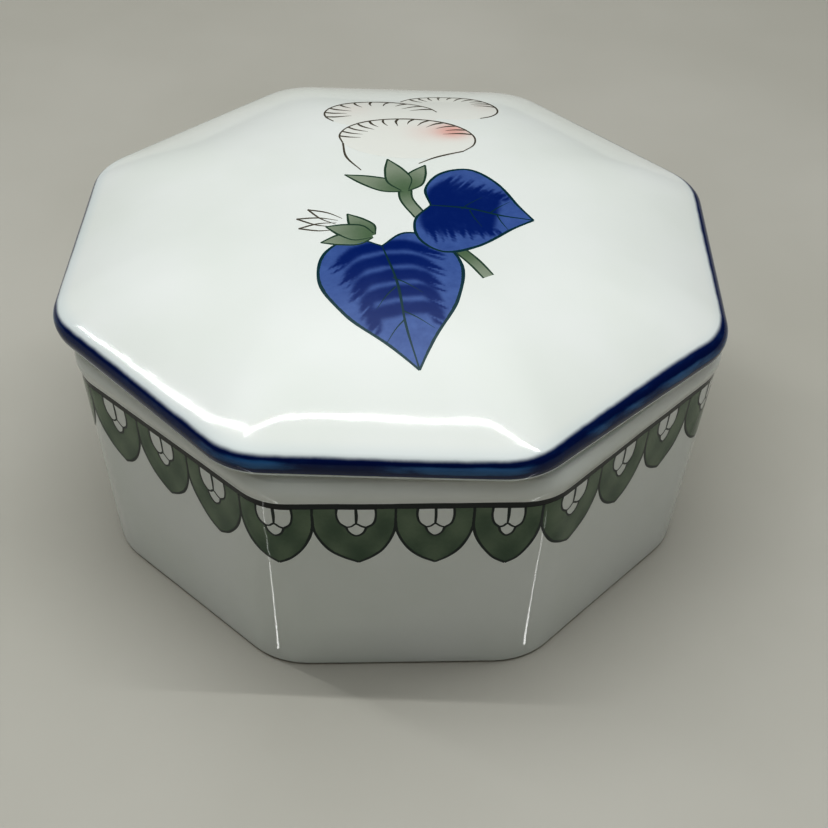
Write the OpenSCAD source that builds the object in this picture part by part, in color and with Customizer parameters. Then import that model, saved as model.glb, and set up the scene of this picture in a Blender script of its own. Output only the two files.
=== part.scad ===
// Octagonal glazed porcelain trinket box: a tapering tub and a loose, domed lift-off lid.
// Origin at the middle of the foot, +Z up, one flat side facing -Y. Millimetres.

/* [Lid] */
// Width of the lid across opposite flats
lid_w = 100; // [92:1:120]
// Height of the closed box, from the table to the top of the dome
total_h = 54; // [52:0.5:64]
// Radius of the rolled edge of the lid
roll_r = 2.4; // [2:0.1:3]
// Radius of the lid's corners, seen from above
lid_corner_r = 11; // [6:0.5:14]
// How far the loose lid sits turned on the base, in degrees
lid_turn = -3; // [-3:0.5:3]
// How far the loose lid sits off centre, to the right
lid_shift = -0.7; // [-1.2:0.1:1.2]

/* [Base] */
// Width of the foot across opposite flats
foot_w = 91.6; // [84:0.2:94]
// Width of the tub under its collar
wall_w = 96.4; // [95:0.2:98]
// Height of the wall, up to the collar
wall_h = 36.3; // [30:0.1:38]
// Height of the rim that carries the lid
rim_h = 41.8; // [40:0.2:44]
// How far the collar swells out beyond the wall
collar_swell = 0.5; // [0.2:0.1:1]
// Radius of the tub's corners at the collar
collar_corner_r = 9; // [6:0.5:14]
// Radius of the tub's corners at the foot
foot_corner_r = 12; // [8:0.5:16]

/* [Thickness] */
// Thickness of the tub's wall at the rim
rim_t = 4.4; // [3.6:0.1:4.6]
// Thickness of the tub's floor, over the recess
floor_t = 3.2; // [2.5:0.1:5]
// Thickness of the lid
lid_t = 3.2; // [2.8:0.1:4]

/* [Lid flange] */
// How far the flange reaches down into the tub
flange_drop = 3.6; // [2:0.1:6]
// Thickness of the flange
flange_t = 2.6; // [2:0.1:3.2]
// Slack between the flange and the mouth of the tub, on each side
flange_slack = 2.5; // [2.5:0.1:3]

/* [Hidden] */

glaze = [0.93, 0.95, 0.93];

// Octagon: eight rounded corners, each drawn with this many steps
sides = 8;
corner_steps = 8;
half_corner = 180 / sides;

// Foot ring and floor
foot_edge_r = 0.8;
foot_ring_w = 5;
recess_h = 1.4;
recess_slope = 1;
floor_z = recess_h + floor_t;
floor_fillet = 4;
floor_draw = 1.6;

// Rim of the tub: outer and inner edges are softened by the glaze
rim_edge_r = 1;
rim_drop = 0.05;
rim_z = rim_h - rim_drop;
mouth_a = wall_w / 2 - rim_t;

// Edge of the lid, in its own section
roll_a = lid_w / 2 - roll_r;
roll_z = rim_h + 1.9;
lip_r = 0.55;
lip_a = lid_w / 2 - 0.8;
lip_z = rim_h + 0.2;
seat_a = lid_w / 2 - 2.2;
crown_from = 62;
crown_a = roll_a + roll_r * cos(crown_from);
crown_z = roll_z + roll_r * sin(crown_from);
crown_h = total_h - crown_z;
crown_power = crown_a / tan(crown_from) / crown_h;
crown_steps = 20;
crown_cap = 2;

flange_a = mouth_a - flange_slack;
hollow_a = flange_a - flange_t;
hollow_z = crown_z - lid_t - 0.6;
hollow_h = total_h - lid_t - hollow_z;
hollow_steps = 12;
flange_edge_r = 0.8;

// A profile is a list of [distance from the axis to a flat side, height, corner radius].
// Points of a profile along an arc, in the plane of distance and height
function arc(a, z, r, from, to, steps, corner) =
    [for (i = [0 : steps])
        let (t = from + (to - from) * i / steps)
        [a + r * cos(t), z + r * sin(t), corner]];

// Outline of a rounded octagon, as a ring of points at one height
function ring(a, z, corner) =
    let (r = min(corner, a))
    [for (k = [0 : sides - 1], i = [0 : corner_steps])
        let (
            middle = (2 * k + 1) * half_corner,
            t = middle + half_corner * (2 * i / corner_steps - 1),
            reach = (a - r) / cos(half_corner)
        )
        [reach * cos(middle) + r * cos(t), reach * sin(middle) + r * sin(t), z]];

// Closed solid through the rings of a profile, which runs from the underside outwards and up
module octagon_shell(profile) {
    around = sides * (corner_steps + 1);
    last = len(profile) - 1;
    points = [for (p = profile) each ring(p[0], p[1], p[2])];
    walls = [for (j = [0 : last - 1], i = [0 : around - 1])
        let (next = (i + 1) % around)
        [j * around + i, (j + 1) * around + i, (j + 1) * around + next, j * around + next]];
    bottom_cap = [for (i = [0 : around - 1]) i];
    top_cap = [for (i = [around - 1 : -1 : 0]) last * around + i];
    polyhedron(points, concat([bottom_cap], walls, [top_cap]), convexity = 6);
}

// Tub: foot ring, tapering wall, swelling collar, flat rim, hollow with a rounded floor edge
module base() {
    foot_a = foot_w / 2;
    wall_a = wall_w / 2;
    ring_in = foot_a - foot_ring_w;
    foot = [
        [ring_in - recess_slope, recess_h, foot_corner_r],
        [ring_in, 0, foot_corner_r],
        each arc(foot_a - foot_edge_r, foot_edge_r, foot_edge_r, -90, 0, 4, foot_corner_r)
    ];
    wall_steps = 6;
    wall = [for (i = [1 : wall_steps])
        let (t = i / wall_steps)
        [
            foot_a + (wall_a - foot_a) * t,
            foot_edge_r + (wall_h - foot_edge_r) * t,
            foot_corner_r + (collar_corner_r - foot_corner_r) * t
        ]];
    collar_steps = 8;
    collar_h = rim_z - rim_edge_r - wall_h;
    collar = [for (i = [1 : collar_steps])
        let (t = i / collar_steps)
        [wall_a + collar_swell * sin(180 * t), wall_h + collar_h * t, collar_corner_r]];
    rim = [
        each arc(wall_a - rim_edge_r, rim_z - rim_edge_r, rim_edge_r, 15, 90, 4, collar_corner_r),
        each arc(mouth_a + rim_edge_r, rim_z - rim_edge_r, rim_edge_r, 90, 180, 4,
            collar_corner_r - rim_t / 2)
    ];
    well_a = mouth_a - floor_draw;
    well_corner = foot_corner_r - rim_t / 2;
    well = arc(well_a - floor_fillet, floor_z + floor_fillet, floor_fillet, 0, -90, 6, well_corner);
    color(glaze) octagon_shell(concat(foot, wall, collar, rim, well));
}

// Lid: domed cover with a rolled edge, hollow underneath, and a flange that drops into the tub
module lid() {
    hollow_corner = lid_corner_r - 1;
    hollow = [for (i = [1 : hollow_steps])
        let (t = i / hollow_steps)
        [
            hollow_a * t,
            hollow_z + hollow_h * (1 - pow(t, crown_power)),
            hollow_corner + (hollow_a - hollow_corner) * pow(1 - t, 2)
        ]];
    drop_z = rim_h - flange_drop;
    flange = [
        [hollow_a, drop_z + flange_edge_r, hollow_corner],
        each arc(hollow_a + flange_edge_r, drop_z + flange_edge_r, flange_edge_r, 180, 270, 3,
            hollow_corner),
        each arc(flange_a - flange_edge_r, drop_z + flange_edge_r, flange_edge_r, -90, 0, 3,
            hollow_corner),
        [flange_a, rim_h, hollow_corner]
    ];
    edge = [
        [seat_a, rim_h, lid_corner_r],
        each arc(lip_a, lip_z + lip_r, lip_r, -90, -10, 4, lid_corner_r),
        each arc(roll_a, roll_z, roll_r, -20, crown_from, 8, lid_corner_r)
    ];
    crown = [for (i = [1 : crown_steps])
        let (
            t = 1 - (1 - crown_cap / crown_a) * i / crown_steps,
            a = crown_a * t
        )
        [
            a,
            total_h - crown_h * pow(t, crown_power),
            lid_corner_r + (a - lid_corner_r) * pow(1 - t, 2)
        ]];
    color(glaze)
        translate([lid_shift, 0, 0])
        rotate([0, 0, lid_turn])
        octagon_shell(concat(hollow, flange, edge, crown));
}

base();
lid();
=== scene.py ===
import math

import bpy
import numpy as np
from mathutils import Matrix, Vector, geometry


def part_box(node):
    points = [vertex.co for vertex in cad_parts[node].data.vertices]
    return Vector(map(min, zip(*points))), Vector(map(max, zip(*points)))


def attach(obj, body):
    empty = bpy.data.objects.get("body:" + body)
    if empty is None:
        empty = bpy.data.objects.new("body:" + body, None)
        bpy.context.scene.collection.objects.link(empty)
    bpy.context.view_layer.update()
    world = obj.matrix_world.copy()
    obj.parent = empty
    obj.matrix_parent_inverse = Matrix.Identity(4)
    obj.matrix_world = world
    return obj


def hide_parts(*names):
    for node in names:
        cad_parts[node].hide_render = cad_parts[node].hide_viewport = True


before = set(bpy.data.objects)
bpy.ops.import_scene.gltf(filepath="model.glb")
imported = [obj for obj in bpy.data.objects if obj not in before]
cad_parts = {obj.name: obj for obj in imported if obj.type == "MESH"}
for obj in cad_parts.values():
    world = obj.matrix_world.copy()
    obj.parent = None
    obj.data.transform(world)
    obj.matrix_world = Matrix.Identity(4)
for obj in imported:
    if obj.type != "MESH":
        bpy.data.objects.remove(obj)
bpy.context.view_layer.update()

# ---------------------------------------------------------------- tub
# The tub is one slip-cast porcelain octagon: walls that widen upwards, a collar bead round the
# mouth and a low foot ring. It is dipped whole in clear glaze and its foot ring is wiped bare.
# Every size and place below is in millimetres until throw_mesh() turns it into metres.
mm = 0.001
_, tub_high = (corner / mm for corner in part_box("base"))
tub_rim = tub_high.z
collar_swell = 0.5
wall_top = 36.3
wall_out = tub_high.x - collar_swell
foot_out = wall_out - 2.4
foot_round = 0.8
foot_corner = 12
wall_corner = 9
bead_high = 4.1
neck_in = 0.7
rim_thick = 4.4
foot_ring = 5
recess = 1.4
floor_top = 4.6
well_out = wall_out - rim_thick - 1.6


def kiln_warp(bearing):
    """How far the firing pulled the octagon out of true, as a share of its size."""
    return 1 + 0.0011 * np.sin(3 * bearing + 1.0) + 0.0007 * np.cos(5 * bearing + 2.0)


def octagon_reach(apothem, corner, bearing):
    """Distance from the axis to the side of a round-cornered octagon, along a bearing."""
    corner = np.minimum(corner, apothem)
    off = bearing % (math.pi / 4) - math.pi / 8
    middle = (apothem - corner) / math.cos(math.pi / 8)
    ends = np.arctan2(corner * math.sin(math.pi / 8), middle + corner * math.cos(math.pi / 8))
    round_part = middle * np.cos(off) + np.sqrt(np.maximum(corner**2 - (middle * np.sin(off)) ** 2, 0))
    flat_part = apothem / np.cos(math.pi / 8 - np.abs(off))
    return np.where(np.abs(off) < ends, round_part, flat_part) * kiln_warp(bearing)


def soften(keys):
    """A mould profile from (apothem, height, corner radius, rounding) keys, in short even steps."""
    step = 1.2
    keys = [np.array(key, float) for key in keys]
    turned = [keys[0][:3]]
    for before, here, after in zip(keys, keys[1:], keys[2:]):
        if here[3] == 0:
            turned.append(here[:3])
            continue
        back, ahead = before[:3] - here[:3], after[:3] - here[:3]
        start = here[:3] + back * min(here[3] / np.linalg.norm(back[:2]), 0.5)
        end = here[:3] + ahead * min(here[3] / np.linalg.norm(ahead[:2]), 0.5)
        for t in np.linspace(0, 1, 7):
            turned.append(start * (1 - t) ** 2 + here[:3] * 2 * t * (1 - t) + end * t**2)
    turned.append(keys[-1][:3])
    profile = [turned[0]]
    for here, after in zip(turned, turned[1:]):
        pieces = max(1, round(np.linalg.norm((after - here)[:2]) / step))
        profile += [here + (after - here) * t for t in np.linspace(0, 1, pieces + 1)[1:]]
    return np.array(profile)


def throw_mesh(name, points, faces, tones):
    """A smooth-shaded mesh from points in millimetres, with named tones held at its points."""
    mesh = bpy.data.meshes.new(name)
    mesh.from_pydata((np.asarray(points) * mm).tolist(), [], faces)
    for tone, values in tones.items():
        mesh.attributes.new(tone, "FLOAT", "POINT").data.foreach_set("value", np.float32(values))
    mesh.shade_smooth()
    mesh.set_sharp_from_angle(angle=math.radians(40))
    piece = bpy.data.objects.new(name, mesh)
    bpy.context.scene.collection.objects.link(piece)
    return piece


def cast_octagon(name, profile, tones):
    """The slip-cast wall: the profile carried round the octagon, with columns close at corners."""
    share = np.linspace(-1, 1, 32, endpoint=False)
    fan = math.pi / 8 * np.sign(share) * np.abs(share) ** 1.8
    bearings = np.concatenate([(2 * k + 1) * math.pi / 8 + fan for k in range(8)])
    around = len(bearings)
    reach = octagon_reach(profile[:, :1], profile[:, 2:], bearings[None, :])
    points = np.empty((len(profile), around, 3))
    points[..., 0] = reach * np.cos(bearings)
    points[..., 1] = reach * np.sin(bearings)
    points[..., 2] = profile[:, 1:2]
    points = np.vstack([points.reshape(-1, 3), [0, 0, profile[0, 1]], [0, 0, profile[-1, 1]]])
    faces = []
    for ring in range(len(profile) - 1):
        low, high = ring * around, (ring + 1) * around
        faces += [(low + j, low + (j + 1) % around, high + (j + 1) % around, high + j) for j in range(around)]
    first_hub, last_hub = len(points) - 2, len(points) - 1
    last = (len(profile) - 1) * around
    faces += [(first_hub, (j + 1) % around, j) for j in range(around)]
    faces += [(last_hub, last + j, last + (j + 1) % around) for j in range(around)]
    spread = {
        tone: np.concatenate([np.repeat(values, around), [values[0], values[-1]]])
        for tone, values in tones.items()
    }
    return throw_mesh(name, points, faces, spread)


tub_profile = soften(
    [
        (0.4, recess, foot_corner, 0),
        (foot_out - foot_ring - 1, recess, foot_corner, 0.6),
        (foot_out - foot_ring, 0, foot_corner, 0.4),
        (foot_out, 0, foot_corner, foot_round),
        (wall_out, wall_top, wall_corner, 0.15),
    ]
    + [
        (wall_out + collar_swell * math.sin(math.pi * t), wall_top + bead_high * t, wall_corner, 0)
        for t in np.linspace(0.06, 1, 14)
    ]
    + [
        (wall_out - neck_in, wall_top + bead_high + 0.5, wall_corner, 0.5),
        (wall_out - neck_in, tub_rim, wall_corner, 0.7),
        (wall_out - rim_thick, tub_rim, wall_corner - 2.2, 1.2),
        (well_out, floor_top, foot_corner - 2.2, 4),
        (0.4, floor_top, foot_corner - 2.2, 0),
    ]
)
tub_a, tub_z = tub_profile[:, 0], tub_profile[:, 1]
inside = (np.arange(len(tub_profile)) > tub_z.argmax()) | (tub_a < foot_out - 7)
tub_tones = {
    # height up the outer wall, where the band is painted; far above the rim on the inside
    "up_wall": np.where(inside, 99.0, tub_z),
    # 1 where the foot was wiped clean of glaze
    "bare": ((tub_z < 0.3) & (tub_a > foot_out - foot_ring - 0.2)).astype(float),
    # 1 where glaze ran together: the floor fillet and the corner of the foot's recess
    "pool": np.clip(1 - np.abs(tub_z - floor_top - 1.2) / 1.6, 0, 1) * (tub_a > well_out - 6) * inside
    + np.clip(1 - np.abs(tub_z - recess) / 0.5, 0, 1) * (tub_a > foot_out - 9) * (tub_a < foot_out - 4),
}


class Wash:
    """One value or colour on its way through a finish. + - * on it add Math nodes."""

    def __init__(self, tree, socket=None):
        self.tree = tree
        self.socket = socket

    def node(self, kind, settings=None, sockets=None, out=0):
        """Adds a node: its settings first, then the values or links of its sockets."""
        made = self.tree.nodes.new("ShaderNode" + kind)
        for name, value in (settings or {}).items():
            setattr(made, name, value)
        for name, value in (sockets or {}).items():
            if isinstance(value, Wash):
                self.tree.links.new(value.socket, made.inputs[name])
            else:
                made.inputs[name].default_value = value
        return Wash(self.tree, made.outputs[out] if made.outputs else None)

    def sum(self, operation, first, second):
        return self.node("Math", {"operation": operation}, {0: first, 1: second})

    def __add__(self, other):
        return self.sum("ADD", self, other)

    def __radd__(self, other):
        return self.sum("ADD", other, self)

    def __sub__(self, other):
        return self.sum("SUBTRACT", self, other)

    def __rsub__(self, other):
        return self.sum("SUBTRACT", other, self)

    def __mul__(self, other):
        return self.sum("MULTIPLY", self, other)

    def ease(self, low, high):
        """0 below low, 1 above high, and a soft step between."""
        return self.node(
            "MapRange",
            {"interpolation_type": "SMOOTHSTEP"},
            {"Value": self, "From Min": low, "From Max": high},
        )

    def blend(self, under, over):
        """The under colour where this is 0 and the over colour where it is 1."""
        return self.node("Mix", {"data_type": "RGBA"}, {0: self, 6: under, 7: over}, out=2)

    def stretch(self, x, y, z):
        """This place scaled along each axis, so that a mottle drawn on it runs one way."""
        return self.node("VectorMath", {"operation": "MULTIPLY"}, {0: self, 1: (x, y, z)})

    def mottle(self, scale, detail=2.0, rough=0.5, wander=0.0):
        """Cloudy values about 0.5 over this place; scale is clouds to the metre."""
        return self.node(
            "TexNoise",
            {},
            {"Vector": self, "Scale": scale, "Detail": detail, "Roughness": rough, "Distortion": wander},
        )


def shade(red, green, blue):
    """A colour read off a swatch, 0 to 255, as the light that it sends back."""
    back = [(c / 255 / 12.92 if c < 11 else ((c / 255 + 0.055) / 1.055) ** 2.4) for c in (red, green, blue)]
    return (*back, 1.0)


def new_finish(name):
    """An empty finish and the start of its node tree."""
    finish = bpy.data.materials.new(name)
    finish.use_nodes = True
    finish.node_tree.nodes.clear()
    return finish, Wash(finish.node_tree)


def glazed_porcelain(name, pigment):
    """White porcelain under clear glaze. pigment(start, place, white) paints under the glaze."""
    finish, start = new_finish(name)
    place = start.node("TexCoord", out="Object")
    tone = {key: start.node("Attribute", {"attribute_name": key}, out="Fac") for key in ("bare", "pool")}
    clouds = place.mottle(42, detail=3).ease(0.3, 0.7)
    white = clouds.blend(shade(229, 233, 229), shade(233, 236, 234))
    white = (tone["pool"] * 0.55).blend(white, shade(196, 214, 206))
    pits = start.node("TexVoronoi", {}, {"Vector": place, "Scale": 105.0, "Randomness": 1.0}, out="Distance")
    chance = start.node("TexVoronoi", {}, {"Vector": place, "Scale": 105.0, "Randomness": 1.0}, out="Color")
    rare = chance.node("SeparateColor", {}, {"Color": chance}).ease(0.90, 0.94)
    iron = (1 - pits.ease(0.012, 0.035)) * rare
    white = (iron * 0.75).blend(white, shade(120, 108, 92))
    colour = pigment(start, place, white)
    grit = place.mottle(2600, detail=2)
    bare = (tone["bare"] + (place.mottle(700) - 0.5) * 0.5).ease(0.4, 0.6)
    colour = bare.blend(colour, grit.ease(0.35, 0.7).blend(shade(222, 214, 200), shade(204, 194, 178)))
    ripple = place.mottle(75, detail=1) + place.mottle(260, detail=2) * 0.12
    peel = place.mottle(1500, detail=1)
    swell = start.node("Bump", {}, {"Strength": 1.0, "Distance": 0.00011, "Height": ripple})
    skin = start.node(
        "Bump",
        {},
        {"Strength": 1.0, "Distance": 0.000003, "Height": peel + bare * grit * 8.0, "Normal": swell},
    )
    body = start.node(
        "BsdfPrincipled",
        {},
        {
            "Base Color": colour,
            "Roughness": 0.055 + clouds * 0.035 + bare * 0.6,
            "IOR": 1.52,
            "Normal": skin,
        },
    )
    start.node("OutputMaterial", {}, {"Surface": body})
    return finish


line_low, line_high = 35.05, 36.2


def wall_line(start, place, white):
    """The dark line that the band hangs from, drawn with the tub turning on a wheel."""
    height = start.node("Attribute", {"attribute_name": "up_wall"}, out="Fac")
    shaky = height + (place.mottle(160) - 0.5) * 0.25
    drawn = shaky.ease(line_low - 0.06, line_low + 0.08) * (1 - shaky.ease(line_high - 0.1, line_high + 0.06))
    dense = place.mottle(220, detail=3).ease(0.2, 0.8)
    return drawn.blend(white, dense.blend(shade(5, 14, 17), shade(16, 32, 33)))


tub = cast_octagon("tub", tub_profile, tub_tones)
tub.data.materials.append(glazed_porcelain("tub_glaze", wall_line))
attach(tub, "base")
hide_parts("base")

# ---------------------------------------------------------------- scalloped band
# Thirty sage-green scallops hang from the dark line, each with three bare cells at its top. The
# enamel is brushed on by hand over the glaze, so no two are quite alike, and outlined in black-green.
sixteenth = math.tan(math.pi / 8)
wall_lean = math.atan2(wall_out - foot_out, wall_top)
# how far a line's underlay stands off the glaze, how high the line swells, how deep a coat is bedded
line_lift = 0.012
line_raise = 0.010
bedded = -0.03


def wall_octant(height):
    """Apothem, corner radius and length of an eighth of the wall at a height."""
    rise = height / wall_top
    apothem = foot_out + (wall_out - foot_out) * rise
    corner = foot_corner + (wall_corner - foot_corner) * rise
    return apothem, corner, 2 * (apothem - corner) * sixteenth + corner * math.pi / 4


def on_wall(spots, lift):
    """Lays spots (distance round from the front's middle, height) on the tub's outer wall."""
    way, height = spots[:, 0], spots[:, 1]
    apothem, corner, eighth = wall_octant(height)
    flat = (apothem - corner) * sixteenth
    way = way * eighth / wall_octant(line_low)[2] + flat
    side = np.floor(way / eighth)
    swing = np.clip((way - side * eighth - 2 * flat) / corner, 0, None)
    across = np.minimum(way - side * eighth - flat, flat) + corner * np.sin(swing)
    out = apothem - corner + corner * np.cos(swing)
    facing = -math.pi / 2 + side * math.pi / 4
    x = out * np.cos(facing) - across * np.sin(facing)
    y = out * np.sin(facing) + across * np.cos(facing)
    warp = kiln_warp(np.arctan2(y, x))
    away = lift * math.cos(wall_lean)
    return np.column_stack(
        [
            x * warp + away * np.cos(facing + swing),
            y * warp + away * np.sin(facing + swing),
            height - lift * math.sin(wall_lean),
        ]
    )


def stroke(points, step=0.25):
    """Even spots along the smooth curve of a brush that passes through a few set spots."""
    points = np.array(points, float)
    knots = np.append(0, np.cumsum(np.linalg.norm(np.diff(points, axis=0), axis=1) ** 0.5))
    slopes = np.gradient(points, knots, axis=0)
    time = np.linspace(0, knots[-1], 30 * len(points))
    i = np.clip(np.searchsorted(knots, time, side="right") - 1, 0, len(points) - 2)
    gap = (knots[i + 1] - knots[i])[:, None]
    u = (time - knots[i])[:, None] / gap
    path = (2 * u**3 - 3 * u**2 + 1) * points[i] + (3 * u**2 - 2 * u**3) * points[i + 1]
    path += gap * ((u**3 - 2 * u**2 + u) * slopes[i] + (u**3 - u**2) * slopes[i + 1])
    run = np.append(0, np.cumsum(np.linalg.norm(np.diff(path, axis=0), axis=1)))
    even = np.linspace(0, run[-1], max(3, math.ceil(run[-1] / step)) + 1)
    return np.column_stack([np.interp(even, run, path[:, 0]), np.interp(even, run, path[:, 1])])


def outline(strokes):
    """A closed outline from strokes that each start where the last one ends."""
    return np.vstack([stroke(points)[:-1] for points in strokes])


def brush_line(points, width, lay, lift, press):
    """A raised line of enamel. press is how hard the brush bears, from the line's start to its end."""
    path = stroke(points)
    share = np.linspace(0, 1, len(path))
    half = width / 2 * np.interp(share, np.linspace(0, 1, len(press)), press)
    half *= 1 + 0.10 * np.sin(share * len(path) * 0.21 + path[0, 0])
    ahead = np.gradient(path, axis=0)
    ahead /= np.linalg.norm(ahead, axis=1)[:, None]
    aside = np.column_stack([-ahead[:, 1], ahead[:, 0]]) * half[:, None]
    section = ((-1, 0), (-0.55, 0.8), (0, 1), (0.55, 0.8), (1, 0), (0, -1.5))
    rows = [lay(path + aside * across, lift + line_raise * raised) for across, raised in section]
    points = np.stack(rows, axis=1).reshape(-1, 3)
    n = len(section)
    faces = []
    for j in range(len(path) - 1):
        near, far = j * n, (j + 1) * n
        faces += [(near + k, far + k, far + (k + 1) % n, near + (k + 1) % n) for k in range(n)]
    faces.append(tuple(range(n)))
    faces.append(tuple(range(len(points) - 1, len(points) - 1 - n, -1)))
    return points, faces, np.full(len(points), 0.5)


def inside_of(edge, spots):
    """Which spots lie inside a closed outline."""
    after = np.roll(edge, -1, axis=0)
    x, y = spots[:, :1], spots[:, 1:]
    crosses = (edge[:, 1] > y) != (after[:, 1] > y)
    rise = np.where(after[:, 1] == edge[:, 1], 1, after[:, 1] - edge[:, 1])
    at = edge[:, 0] + (y - edge[:, 1]) / rise * (after[:, 0] - edge[:, 0])
    return (crosses & (x < at)).sum(axis=1) % 2 == 1


def gap_to(line, spots):
    """Distance of each spot from a line of spots, and how far along the line the nearest one is."""
    gaps = np.linalg.norm(spots[:, None] - line[None], axis=2)
    nearest = gaps.argmin(axis=1)
    return gaps.min(axis=1), nearest / (len(line) - 1)


def lay_coat(edge, lay, lift, spacing, depth, thick=0.025):
    """A coat of enamel inside an outline, thin at its edge. depth(spots) is how much colour it holds."""
    across = np.arange(edge[:, 0].min(), edge[:, 0].max(), spacing)
    up = np.arange(edge[:, 1].min(), edge[:, 1].max(), spacing * 0.866)
    grid = np.array([(x + (row % 2) * spacing / 2, y) for row, y in enumerate(up) for x in across])
    grid = grid[inside_of(edge, grid)]
    grid = grid[gap_to(edge, grid)[0] > spacing * 0.5]
    spots = [Vector(spot) for spot in np.vstack([edge, grid])]
    flat, _, faces, *_ = geometry.delaunay_2d_cdt(spots, [], [list(range(len(edge)))], 1, 1e-6)
    flat = np.array([tuple(spot) for spot in flat])
    faces = [tuple(face) for face in faces]
    first, second, third = (flat[list(corner)] for corner in zip(*faces))
    (x, y), (end_x, end_y) = (second - first).T, (third - first).T
    turn = (x * end_y - end_x * y).sum()
    faces = faces if turn > 0 else [face[::-1] for face in faces]
    sides = dict.fromkeys(side for face in faces for side in zip(face, face[1:] + face[:1]))
    rim = [(start, end) for start, end in sides if (end, start) not in sides]
    inward = np.clip(gap_to(edge, flat)[0] / 0.45, 0, 1)
    top = lay(flat, lift + thick * inward * (2 - inward))
    under = lay(flat, np.full(len(flat), bedded))
    count = len(flat)
    closed = faces + [tuple(i + count for i in face[::-1]) for face in faces]
    closed += [(end, start, start + count, end + count) for start, end in rim]
    return np.vstack([top, under]), closed, np.tile(depth(flat), 2)


def fire_enamel(name, coats, finish, body):
    """Joins coats of one enamel into one piece, fired on the porcelain that it rides with."""
    points, faces, tones = [], [], []
    for spots, coat_faces, depth in coats:
        shift = sum(len(done) for done in points)
        points.append(spots)
        faces += [tuple(i + shift for i in face) for face in coat_faces]
        tones.append(depth)
    piece = throw_mesh(name, np.vstack(points), faces, {"depth": np.concatenate(tones)})
    piece.data.materials.append(finish)
    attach(piece, body)


def enamel(name, thin, thick, streak, mottled=0.35, gloss=0.09):
    """Fired enamel: thin colour where little lies, thick colour where much does, with fine streaks."""
    finish, start = new_finish(name)
    place = start.node("TexCoord", out="Object")
    depth = start.node("Attribute", {"attribute_name": "depth"}, out="Fac")
    cloud = place.mottle(streak, detail=4, rough=0.6, wander=0.4) - 0.5
    fine = place.mottle(streak * 6, detail=2) - 0.5
    laid = (depth + cloud * mottled + fine * mottled * 0.3).ease(0.0, 1.0)
    swell = start.node(
        "Bump", {}, {"Strength": 1.0, "Distance": 0.00001, "Height": place.mottle(420, detail=2) + laid * 0.5}
    )
    body = start.node(
        "BsdfPrincipled",
        {},
        {
            "Base Color": laid.blend(thin, thick),
            "Roughness": gloss + cloud * 0.05,
            "IOR": 1.52,
            "Normal": swell,
        },
    )
    start.node("OutputMaterial", {}, {"Surface": body})
    return finish


band_round = wall_octant(line_low)[2] * 8
scallop_count = 30
usual_wide = 10.9
band_top = 35.15
# where the painter's scallops meet round the front; the rest are spaced nearly evenly
front_joints = [-57, -46, -35, -23.8, -12.9, -1.4, 9.4, 19, 31, 42, 52.2]
rest_count = scallop_count - len(front_joints) + 2
rest_joints = np.linspace(front_joints[-1], front_joints[0] + band_round, rest_count)
hand = np.random.default_rng(7)
joints = front_joints + [x + hand.uniform(-0.35, 0.35) for x in rest_joints[1:-1]] + [rest_joints[-1]]
# a scallop's side as (share of the way to its middle, height), then its bare cells
scallop_side = [(0, band_top), (0.0, 33.2), (0.02, 31.2), (0.14, 28.9), (0.36, 26.7), (0.66, 25.1), (1, 24.0)]
left_cell = [(-2.5, band_top), (-2.55, 33.8), (-2.15, 32.3), (-1.3, 31.4)]
low_cell = [(-1.3, 31.4), (-0.95, 30.4), (0, 29.6), (0.95, 30.2), (1.35, 31.3)]
right_cell = [(1.35, 31.3), (2.25, 32.1), (2.6, 33.6), (2.55, band_top)]
upright_bar = [(0, band_top), (0.05, 33.5), (0, 32.1)]
level_bar = [(-1.3, 31.4), (-0.65, 31.55), (0, 32.1), (0.7, 31.6), (1.35, 31.3)]


def sage_depth(spots):
    """Sage lies unevenly: darker low down and in the brush's overlaps."""
    return 0.5 + 0.25 * np.sin(spots[:, 0] * 0.9 + 1) * np.sin(spots[:, 1] * 0.55) - 0.02 * (spots[:, 1] - 30)


sage_coats, band_lines = [], []
for left, right in zip(joints, joints[1:]):
    middle = (left + right) / 2 + hand.uniform(-0.1, 0.35)
    drop = hand.uniform(-0.35, 0.35)
    wide = (right - left) / usual_wide

    def place_side(edge):
        return [(edge + (middle + 0.25 - edge) * u, z + drop * (u > 0.5)) for u, z in scallop_side]

    def place_cell(points):
        return [(middle - 0.05 + x * wide, z + drop * 0.5 * (z < 35)) for x, z in points]

    sides = [place_side(left), place_side(right)[::-1]]
    cells = [place_cell(points) for points in (left_cell, low_cell, right_cell)]
    top_left, top_right = cells[0][0], cells[2][-1]
    edge = outline(
        [
            sides[0],
            sides[1],
            [sides[1][-1], top_right],
            cells[2][::-1],
            cells[1][::-1],
            cells[0][::-1],
            [top_left, sides[0][0]],
        ]
    )
    sage_coats.append(lay_coat(edge, on_wall, 0.004, 0.55, depth=sage_depth))
    band_lines += [brush_line(points, 0.42, on_wall, line_lift, (0.9, 1, 1, 1)) for points in sides]
    band_lines += [brush_line(points, 0.36, on_wall, line_lift, (1, 0.9, 0.9, 1)) for points in cells]
    band_lines.append(brush_line(place_cell(upright_bar), 0.42, on_wall, line_lift, (1, 1, 0.7)))
    band_lines.append(brush_line(place_cell(level_bar), 0.32, on_wall, line_lift, (1, 0.9, 1, 0.9, 1)))

sage = enamel("sage_enamel", shade(118, 136, 112), shade(66, 92, 70), 240)
black_green = enamel("black_green_enamel", shade(24, 48, 42), shade(8, 24, 22), 500, gloss=0.3)
fire_enamel("band_scallops", sage_coats, sage, "base")
fire_enamel("band_outlines", band_lines, black_green, "base")

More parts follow.
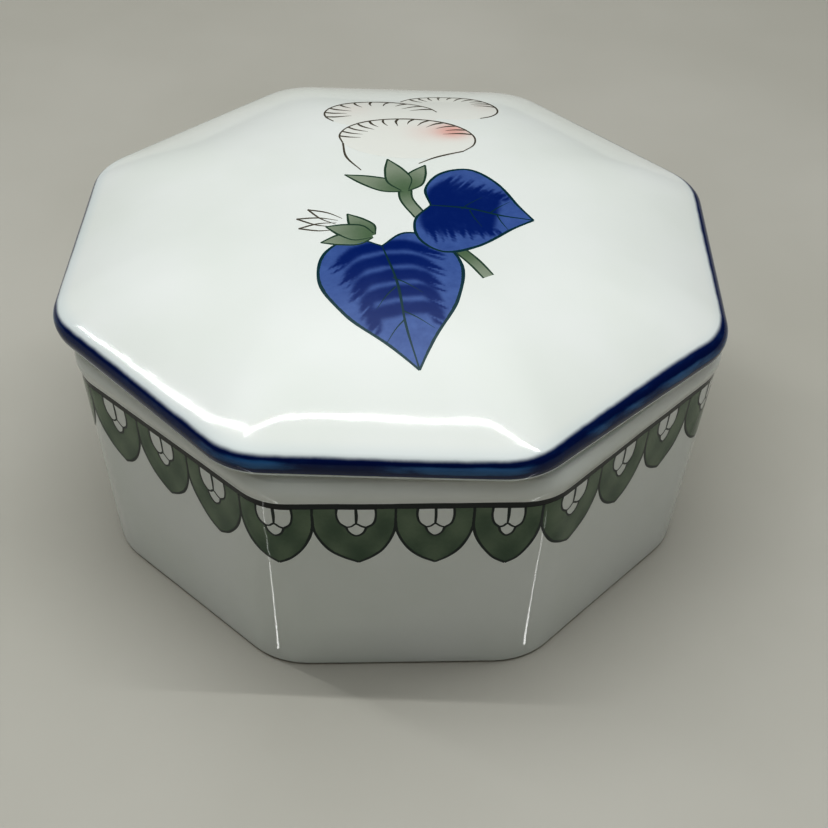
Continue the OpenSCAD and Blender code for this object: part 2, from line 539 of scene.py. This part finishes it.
# ---------------------------------------------------------------- lid
# The lid is the second slip-cast octagon: a shallow pillow with a rolled edge, and a flange
# underneath that drops into the tub. The roll is brushed with cobalt and its seat is left bare.
lid_low, lid_high = (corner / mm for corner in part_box("lid"))
lid_out = 50
lid_turn = math.radians(-3)
lid_middle = ((lid_low.x + lid_high.x) / 2, (lid_low.y + lid_high.y) / 2)
lid_corner = 11
lid_thick = 3.2
roll_round = 2.4
roll_out = lid_out - roll_round
roll_up = lid_high.z - 10.3
crown_from = 62
crown_out = roll_out + roll_round * math.cos(math.radians(crown_from))
crown_up = roll_up + roll_round * math.sin(math.radians(crown_from))
crown_rise = lid_high.z - crown_up
crown_power = crown_out / math.tan(math.radians(crown_from)) / crown_rise
seat_up = tub_rim + 0.05
flange_out = 41.3
flange_in = 38.7
hollow_edge = crown_up - lid_thick - 0.6
hollow_rise = lid_high.z - lid_thick - hollow_edge


def crown_corner(apothem, t):
    """The octagon's corners grow rounder towards the middle of the crown."""
    return lid_corner + (apothem - lid_corner) * (1 - t) ** 2


def arc_keys(centre, radius, start, end, corner, steps):
    """Profile keys along an arc, from one angle to another in degrees."""
    for turn in np.radians(np.linspace(start, end, steps + 1)):
        yield (centre[0] + radius * math.cos(turn), centre[1] + radius * math.sin(turn), corner, 0)


lid_keys = []
for t in np.linspace(0.01, 1, 24):
    under_corner = 10 + (flange_in - 10) * (1 - t) ** 2
    lid_keys.append((flange_in * t, hollow_edge + hollow_rise * (1 - t**crown_power), under_corner, 0))
lid_keys += [
    (flange_in, lid_low.z, 10, 0.9),
    (flange_out, lid_low.z, 10, 0.9),
    (flange_out, seat_up, 10, 0.5),
    (lid_out - 2.2, seat_up, lid_corner, 0.3),
]
lid_keys += arc_keys((lid_out - 0.8, seat_up + 0.75), 0.55, -90, -15, lid_corner, 6)
lid_keys += arc_keys((roll_out, roll_up), roll_round, -18, crown_from, lid_corner, 14)
for t in np.linspace(1, 0.01, 60)[1:]:
    apothem = crown_out * t
    lid_keys.append((apothem, lid_high.z - crown_rise * t**crown_power, crown_corner(apothem, t), 0))
lid_profile = soften(lid_keys)
lid_a, lid_z = lid_profile[:, 0], lid_profile[:, 1]
run = np.append(0, np.cumsum(np.hypot(np.diff(lid_a), np.diff(lid_z))))
under = np.arange(len(lid_profile)) < lid_a.argmax()
on_seat = lid_a > flange_out + 0.6
flange_end = lid_z < lid_low.z + 0.1
lid_tones = {
    # distance up and over the roll from its widest line
    "over_roll": run - run[lid_a.argmax()],
    # 1 on the seat and the flange's end, which touch the tub in the kiln
    "bare": (under & (lid_z < seat_up + 0.2) & (on_seat | flange_end)).astype(float),
    # 1 where glaze gathers inside the flange, level with the seat
    "pool": np.clip(1 - np.abs(lid_z - seat_up - 0.4) / 1.2, 0, 1) * (lid_a < flange_in + 0.2),
}


def cobalt_edge(start, place, white):
    """Cobalt brushed round the roll: dense at both edges, soft on top, and lighter in a long streak along the
    middle, which is a painted highlight of the overhead light on the roll.
    """
    over = start.node("Attribute", {"attribute_name": "over_roll"}, out="Fac")
    wander = (place.mottle(38, detail=2) - 0.5) * 0.9
    feather = (place.mottle(420, detail=3) - 0.5) * 0.3
    fuller = start.node("SeparateXYZ", {}, {"Vector": place}, out="X").ease(0.005, 0.04) * 0.9
    upper = 1 - (over + wander + feather - fuller).ease(1.5, 2.3)
    lower = (over + wander * 0.3 + feather * 0.5).ease(-1.12, -0.92)
    sweep = start.node("CombineXYZ", {}, {"X": 0.0, "Y": 0.0, "Z": over * 0.0012})
    along = start.node("VectorMath", {"operation": "ADD"}, {0: place.stretch(0.3, 0.3, 0.0), 1: sweep})
    streaks = along.mottle(900, detail=3, rough=0.6)
    # middle and thin place the lighter streak along the roll. It is a painted highlight of the overhead
    # light, not thinner cobalt.
    middle = (over - 0.55 + wander * 1.2) * 1.15
    thin = (1 - middle * middle).ease(0.0, 1.0) * place.mottle(60, detail=2).ease(0.38, 0.6)
    load_and_sheen = (streaks * 0.7 + 0.4 - thin * 0.6).ease(0.1, 0.75)
    cobalt = load_and_sheen.blend(shade(60, 110, 156), shade(8, 34, 86))
    halo = ((1 - (over + wander).ease(1.9, 4.6)) * 0.22).blend(white, shade(178, 200, 214))
    return (upper * lower).blend(halo, cobalt)


lid = cast_octagon("lid", lid_profile, lid_tones)
lid.data.transform(Matrix.Rotation(lid_turn, 4, "Z"))
lid.data.transform(Matrix.Translation((lid_middle[0] * mm, lid_middle[1] * mm, 0)))
lid.data.materials.append(glazed_porcelain("lid_glaze", cobalt_edge))
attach(lid, "lid")
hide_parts("lid")

# ---------------------------------------------------------------- painted leaves
# Two heart-shaped leaves are laid in with a loaded brush: a thin cobalt wash first, then strokes
# of strong cobalt pulled out from the midrib, then a dark outline and veins.


def crown_height(x, y):
    """Height of the lid's top over a spot on its plan."""
    bearing, reach = np.arctan2(y, x), np.hypot(x, y)
    low, high = np.zeros(len(x)), np.ones(len(x))
    for _ in range(30):
        t = (low + high) / 2
        short = octagon_reach(crown_out * t, crown_corner(crown_out * t, t), bearing) < reach
        low, high = np.where(short, t, low), np.where(short, high, t)
    return lid_high.z - crown_rise * ((low + high) / 2) ** crown_power


def on_crown(spots, lift):
    """Lays spots of the spray's drawing on the lid's top, and turns them with the lid."""
    x, y = spots[:, 0], spots[:, 1]
    nudge = 0.2
    height = crown_height(x, y)
    fall_x = (crown_height(x + nudge, y) - crown_height(x - nudge, y)) / (2 * nudge)
    fall_y = (crown_height(x, y + nudge) - crown_height(x, y - nudge)) / (2 * nudge)
    steep = np.sqrt(1 + fall_x**2 + fall_y**2)
    x, y, z = x - lift * fall_x / steep, y - lift * fall_y / steep, height + lift / steep
    c, s = math.cos(lid_turn), math.sin(lid_turn)
    return np.column_stack([x * c - y * s + lid_middle[0], x * s + y * c + lid_middle[1], z])


def pulled_strokes(spots, strokes, wash):
    """How much cobalt lies at each spot: a wash, and soft strokes of (path, width, strength)."""
    clear = np.full(len(spots), 1 - wash)
    for points, width, strength in strokes:
        gap, along = gap_to(stroke(points, 0.5), spots)
        x, y = points[0]
        across, up = np.subtract(points[-1], points[0]) / math.dist(points[0], points[-1])
        aside = (spots[:, 0] - x) * up - (spots[:, 1] - y) * across
        lifts_at = 0.80 + 0.14 * np.sin(aside * 5.2 + x) + 0.08 * np.sin(aside * 11 + y)
        half = width / 2 * (1.15 - 0.5 * along**2)
        soft = np.clip(1.4 - gap / half, 0, 1)
        pulled = np.clip(1.0 - (along - lifts_at) / 0.22, 0, 1)
        clear *= 1 - strength * pulled * soft * soft * (3 - 2 * soft)
    return 1 - clear


def between(base, tip, width, points):
    """Moves points (share of the way from base to tip, share of the width aside) onto the plan."""
    base, along = np.array(base), np.array(tip) - np.array(base)
    aside = np.array([-along[1], along[0]]) / np.linalg.norm(along) * width
    return [tuple(base + along * u + aside * v) for u, v in points]


# a leaf's side as (share of its length, share of its width)
heart_side = [(0, 0), (-0.1, 0.2), (0, 0.42), (0.25, 0.52), (0.55, 0.4), (0.82, 0.15), (1, 0)]
leaf_coats, leaf_lines = [], []
vein_lift = 0.024
# the two leaves, the lower one first: lift, base, tip and width
leaves = ((0.004, (-1.5, -12.5), (4.5, -37), 20), (0.012, (5.5, -1.5), (21, -4), 22))
for lift, base, tip, width in leaves:
    sides = [between(base, tip, width, [(u, v * side) for u, v in heart_side]) for side in (1, -1)]
    strokes = []
    for side in (1, -1):
        for u in (0.0, 0.14, 0.28, 0.42, 0.56):
            path = [(u, 0.03 * side), (u + 0.03, 0.2 * side), (u + 0.17, (0.4 - 0.3 * u) * side)]
            strokes.append((between(base, tip, width, path), 0.12 * width, 0.92))

    def leaf_depth(spots):
        return pulled_strokes(spots, strokes, 0.42)

    leaf_coats.append(lay_coat(outline([sides[0], sides[1][::-1]]), on_crown, lift, 0.32, depth=leaf_depth))
    for points in sides:
        leaf_lines.append(brush_line(points, 0.5, on_crown, lift + line_lift, (0.6, 1, 1.1, 1, 0.7)))
    midrib = between(base, tip, width, [(0, 0), (0.35, 0.02), (0.7, -0.01), (1, 0)])
    leaf_lines.append(brush_line(midrib, 0.36, on_crown, lift + vein_lift, (0.6, 1.2, 1, 0.6)))
    for u, side in ((0.3, 1), (0.38, -1), (0.58, 1), (0.64, -1)):
        vein = between(base, tip, width, [(u, 0), (u + 0.06, 0.08 * side), (u + 0.16, 0.18 * side)])
        leaf_lines.append(brush_line(vein, 0.26, on_crown, lift + vein_lift, (1, 0.7, 0.2)))

cobalt = enamel("cobalt_enamel", shade(100, 128, 186), shade(8, 46, 116), 330, mottled=0.34)
teal_black = enamel("teal_black_enamel", shade(34, 80, 88), shade(16, 50, 60), 500)
fire_enamel("leaf_cobalt", leaf_coats, cobalt, "lid")
fire_enamel("leaf_outlines", leaf_lines, teal_black, "lid")

# ---------------------------------------------------------------- calyx, bud cup and stems
# The green of the spray: three sepals and a stem under the flower, a cup of three sepals under the
# bud, and a cut stem below the leaves, all one sage enamel that is darker where the parts meet.
# a sepal's side as (share of its length, share of its width), then hearts, tips and widths
sepal_side = [(0, 0.15), (0.3, 0.48), (0.65, 0.34), (1, 0)]
calyx_heart, cup_heart = (1.5, 2.5), (-3, -10)
sepals = [
    (calyx_heart, (-8, 6.5), 3.6),
    (calyx_heart, (4.5, 10), 3.6),
    (calyx_heart, (-1.5, 11.5), 4),
    (cup_heart, (-7, -4.5), 3.6),
    (cup_heart, (-10.5, -12), 3.6),
    (cup_heart, (-10, -8), 4),
]
# each stem's course and width
stems = [([(1.5, 3), (1.8, 0), (4, -4.5)], 1.9), ([(10, -13), (12, -15.5), (14, -18.5)], 1.7)]


def shaded_from(heart, reach):
    """Green that lies thickest at a heart and thins away from it."""

    def depth(spots):
        away = np.linalg.norm(spots - np.array(heart), axis=1) / reach
        return np.clip(1 - away, 0.08, 1) ** 0.8

    return depth


green_coats, green_lines = [], []
for course, width in stems:
    path = stroke(course, 1.0)
    ahead = np.gradient(path, axis=0)
    aside = np.column_stack([-ahead[:, 1], ahead[:, 0]]) / np.linalg.norm(ahead, axis=1)[:, None] * width / 2
    left, right = path + aside, path - aside
    edge = outline([left, [left[-1], right[-1]], right[::-1], [right[0], left[0]]])
    green_coats.append(lay_coat(edge, on_crown, 0.002, 0.32, depth=shaded_from(course[0], 6)))
    green_lines += [brush_line(side, 0.34, on_crown, line_lift, (1, 1, 0.8)) for side in (left, right)]
for count, (heart, tip, width) in enumerate(sepals):
    lift = 0.006 + 0.008 * (count % 3)
    sides = [between(heart, tip, width, [(u, v * side) for u, v in sepal_side]) for side in (1, -1)]
    edge = outline([sides[0], sides[1][::-1], [sides[1][0], sides[0][0]]])
    green_coats.append(lay_coat(edge, on_crown, lift, 0.32, depth=shaded_from(heart, 7)))
    for points in sides:
        green_lines.append(brush_line(points, 0.36, on_crown, lift + line_lift, (0.5, 1, 1, 0.7)))

stem_green = enamel("stem_enamel", shade(150, 160, 144), shade(100, 122, 96), 300, mottled=0.3)
line_green = enamel("line_green_enamel", shade(68, 94, 76), shade(48, 70, 58), 500)
fire_enamel("stem_greens", green_coats, stem_green, "lid")
fire_enamel("stem_outlines", green_lines, line_green, "lid")

# ---------------------------------------------------------------- flower and bud petals
# The flower is left almost white: a blush of pink and grey in a thin wash, a fine brown-black
# outline, and short strokes pulled in from the petals' upper edges with a pointed brush.


def petal_edge(middle, wide, high, start, end, steps=12):
    """Spots along an oval petal's edge, between two bearings in degrees."""
    turns = np.radians(np.linspace(start, end, steps))
    return np.column_stack([middle[0] + wide * np.cos(turns), middle[1] + high * np.sin(turns)])


# (middle, half width, half height, from bearing, to bearing, number of strokes)
petals = [
    ((8, 32.5), 8.5, 6, -50, 160, 10),
    ((-3, 28), 9.5, 6, 15, 215, 10),
    ((1.5, 19), 11, 7, -35, 200, 13),
]
bud_tips = [(-13, -3.5), (-14.5, -6), (-14, -8.5)]
petal_lift = 0.02
petal_lines = []
for middle, wide, high, start, end, count in petals:
    edge = petal_edge(middle, wide, high, start, end)
    petal_lines.append(brush_line(edge, 0.34, on_crown, petal_lift, (0.6, 1.1, 1, 0.7)))
    for bearing in np.linspace(max(start, 5) + 12, end - 20, count):
        pull = hand.uniform(0.55, 0.7)
        inward = [
            petal_edge(middle, wide * share, high * share, bearing + swing, bearing, 1)[0]
            for share, swing in ((1, 0), (0.85, 4), (pull, 6))
        ]
        petal_lines.append(brush_line(inward, 0.42, on_crown, petal_lift + 0.001, (0.9, 1.0, 0.6, 0.15)))
# two plain lines lead from the front petal down to the calyx
for edge in ([(-8.8, 16.5), (-8, 12), (-5.5, 8)], [(10.5, 15), (6, 12.5), (3.5, 10.5)]):
    petal_lines.append(brush_line(edge, 0.34, on_crown, petal_lift, (1, 1, 0.6)))
for tip in bud_tips:
    for side in (1, -1):
        edge = between((-6.5, -7.5), tip, 2.2, [(0.25, 0.4 * side), (0.6, 0.42 * side), (1, 0)])
        petal_lines.append(brush_line(edge, 0.26, on_crown, line_lift, (0.4, 1, 1.2)))
brown_black = enamel("brown_black_enamel", shade(116, 110, 100), shade(66, 64, 56), 420)
fire_enamel("petal_outlines", petal_lines, brown_black, "lid")


# where pink gathers: its middle, how far it reaches and how strong it is
pink_clouds = ((9, 22, 3.2, 0.75), (4, 21, 4.0, 0.25), (14, 34, 3.0, 0.2), (-8, 30, 4, 0.18))


def blush(spots):
    """Pink gathers at the right end of the front petal and fades along the others."""
    pink = np.zeros(len(spots))
    for x, y, wide, strength in pink_clouds:
        pink += strength * np.exp(-((spots[:, 0] - x) ** 2 + (spots[:, 1] - y) ** 2) / wide**2)
    return np.clip(pink, 0, 1)


petal_coats = []
for layer, (middle, wide, high, *_) in enumerate(petals):
    edge = petal_edge(middle, wide, high, 0, 360, 80)[:-1]
    petal_coats.append(lay_coat(edge, on_crown, 0.001 + 0.004 * layer, 0.5, thick=0.006, depth=blush))
petal_white = enamel("petal_enamel", shade(231, 232, 227), shade(227, 174, 164), 160, mottled=0.14)
fire_enamel("petal_blush", petal_coats, petal_white, "lid")

# ---------------------------------------------------------------- table, light and camera
# The box stands on a plain pale table top under a soft light from overhead, with two thin tube
# lamps for the bright line along the lid's shoulder.
table_top = bpy.data.meshes.new("table_top")
half_table = 12.0
corners = [(x * half_table, y * half_table, 0) for x, y in ((-1, -1), (1, -1), (1, 1), (-1, 1))]
table_top.from_pydata(corners, [], [(0, 1, 2, 3)])
table = bpy.data.objects.new("table", table_top)
bpy.context.scene.collection.objects.link(table)
stone, start = new_finish("pale_table")
place = start.node("TexCoord", out="Object")
stone_colour = place.mottle(9, detail=4).ease(0.3, 0.7).blend(shade(178, 176, 168), shade(187, 185, 178))
stone_body = start.node("BsdfPrincipled", {}, {"Base Color": stone_colour, "Roughness": 0.55})
start.node("OutputMaterial", {}, {"Surface": stone_body})
table_top.materials.append(stone)

scene = bpy.context.scene
scene.view_settings.view_transform = "Standard"
scene.view_settings.look = "High Contrast"
room = bpy.data.worlds.new("room")
room.use_nodes = True
room.node_tree.nodes.clear()
start = Wash(room.node_tree)
up = start.node("SeparateXYZ", {}, {"Vector": start.node("TexCoord", out="Generated")}, out="Z")
seen = start.node("LightPath", out="Is Camera Ray")
glow = 0.04 + up.ease(0.6, 1.0) * 1.3 + seen * 0.3
sky = start.node("Background", {}, {"Color": (0.985, 1.0, 0.985, 1.0), "Strength": glow})
start.node("OutputWorld", {}, {"Surface": sky})
scene.world = room


def hang_tube(name, start, end, height, wide, radiance):
    """A tube lamp that hangs level between two places on the plan, shining straight down."""
    lamp = bpy.data.lights.new(name, "AREA")
    lamp.shape = "RECTANGLE"
    lamp.size = math.dist(start, end)
    lamp.size_y = wide
    lamp.energy = radiance * math.pi * lamp.size * wide
    lamp.color = (0.99, 1.0, 0.99)
    holder = bpy.data.objects.new(name, lamp)
    holder.location = ((start[0] + end[0]) / 2, (start[1] + end[1]) / 2, height)
    holder.rotation_euler = (0, 0, math.atan2(end[1] - start[1], end[0] - start[0]))
    scene.collection.objects.link(holder)


hang_tube("front_tube", (-0.22, 0.0), (0.30, -0.04), 0.6, 0.005, 80)
hang_tube("left_tube", (-0.62, 0.26), (-0.22, 0.02), 0.6, 0.004, 90)

# two slim lamps lie on the table, each pointing away from a front corner of the tub, and draw the
# fine bright line down that corner; they show in the glaze only
slip_wide = 0.0005
slip_radiance = 4
slip_gap = 0.002
slip_up = 0.0004
corner_y = -0.0449
slips = (("left_slip", -0.0186, -139.3, 0.037), ("right_slip", 0.0186, -35.7, 0.026))
for name, corner_x, bearing, length in slips:
    lamp = bpy.data.lights.new(name, "AREA")
    lamp.shape = "RECTANGLE"
    lamp.size = length
    lamp.size_y = slip_wide
    lamp.energy = slip_radiance * math.pi * lamp.size * lamp.size_y
    slip = bpy.data.objects.new(name, lamp)
    turn = math.radians(bearing)
    out = length / 2 + slip_gap
    slip.location = (corner_x + out * math.cos(turn), corner_y + out * math.sin(turn), slip_up)
    slip.rotation_mode = "QUATERNION"
    face_up = Matrix.Rotation(math.pi, 4, "X")
    slip.rotation_quaternion = (Matrix.Rotation(turn, 4, "Z") @ face_up).to_quaternion()
    slip.visible_camera = False
    slip.visible_diffuse = False
    scene.collection.objects.link(slip)

camera_place = Vector((-7.0, -199.84, 182.42)) * mm
camera_bearing = math.radians(-2.906)
camera_rise = math.radians(40.617)
camera_roll = math.radians(1.589)
back = Vector(
    (
        math.sin(camera_bearing) * math.cos(camera_rise),
        -math.cos(camera_bearing) * math.cos(camera_rise),
        math.sin(camera_rise),
    )
)
lens = bpy.data.cameras.new("camera")
lens.lens = 67.24
lens.clip_start = 0.01
camera = bpy.data.objects.new("camera", lens)
camera.location = camera_place
camera.rotation_mode = "QUATERNION"
rolled = Matrix.Rotation(camera_roll, 4, "Z").to_quaternion()
camera.rotation_quaternion = (-back).to_track_quat("-Z", "Y") @ rolled
scene.collection.objects.link(camera)
scene.camera = camera
